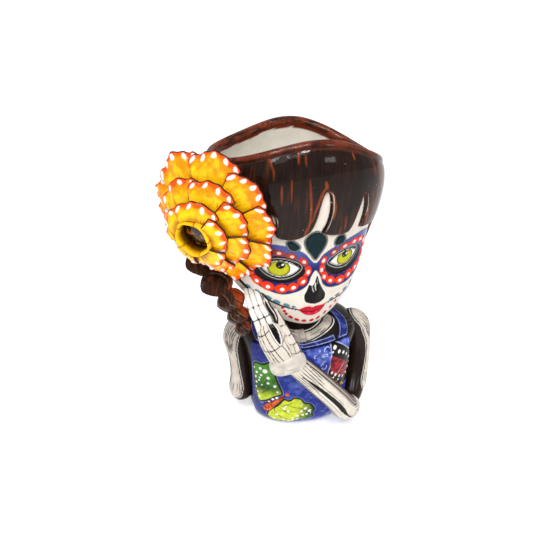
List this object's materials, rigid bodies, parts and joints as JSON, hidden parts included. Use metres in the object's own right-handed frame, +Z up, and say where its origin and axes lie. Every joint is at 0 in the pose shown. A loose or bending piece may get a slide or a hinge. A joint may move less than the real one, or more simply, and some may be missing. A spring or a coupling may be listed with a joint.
{
  "type": "figural bust planter",
  "caption": "Hollow glazed earthenware bust of a skull-painted girl with a flower, braid and raised hand; the head opens at the top as a planter.",
  "frame": {"origin": "middle of the drain hole on the underside of the foot, where the figure stands on the table", "axes": "+Z up through the head, -Y the way the chest faces, +X towards the figure's left"},
  "size_m": [0.2471, 0.1994, 0.3453],
  "materials": {
    "black_glaze": "gloss",
    "bare_clay": "matte",
    "blue_glaze": "gloss",
    "navy_glaze": "gloss",
    "bone_glaze": "gloss",
    "face_glaze": "gloss",
    "hair_glaze": "gloss",
    "orange_glaze": "gloss",
    "amber_glaze": "gloss",
    "yellow_glaze": "gloss",
    "eye_glaze": "gloss"
  },
  "bodies": {
    "root": {"bust_shell": "black_glaze", "neck_ring": "black_glaze", "foot_slab": "bare_clay", "bib": "blue_glaze", "bib_band": "navy_glaze", "strap_left": "navy_glaze", "strap_right": "navy_glaze", "right_arm": "bone_glaze", "left_arm": "bone_glaze", "left_forearm": "bone_glaze", "wrist": "bone_glaze", "palm": "bone_glaze", "index_finger": "bone_glaze", "middle_finger": "bone_glaze", "ring_finger": "bone_glaze", "little_finger": "bone_glaze", "thumb": "bone_glaze", "head_shell": "face_glaze", "rim_lip": "hair_glaze", "hair_fringe": "hair_glaze", "hair_back": "hair_glaze", "braid_lobe_1": "hair_glaze", "braid_lobe_2": "hair_glaze", "braid_lobe_3": "hair_glaze", "braid_lobe_4": "hair_glaze", "braid_lobe_5": "hair_glaze", "flower_boss": "orange_glaze", "outer_petal_1": "orange_glaze", "outer_petal_2": "orange_glaze", "outer_petal_3": "orange_glaze", "outer_petal_4": "orange_glaze", "outer_petal_5": "orange_glaze", "outer_petal_6": "orange_glaze", "outer_petal_7": "orange_glaze", "outer_petal_8": "orange_glaze", "outer_petal_9": "orange_glaze", "flower_core": "amber_glaze", "middle_petal_1": "amber_glaze", "middle_petal_2": "amber_glaze", "middle_petal_3": "amber_glaze", "middle_petal_4": "amber_glaze", "middle_petal_5": "amber_glaze", "middle_petal_6": "amber_glaze", "middle_petal_7": "amber_glaze", "inner_petal_1": "yellow_glaze", "inner_petal_2": "yellow_glaze", "inner_petal_3": "yellow_glaze", "inner_petal_4": "yellow_glaze", "inner_petal_5": "yellow_glaze", "flower_eye": "eye_glaze"}
  },
  "joints": []
}
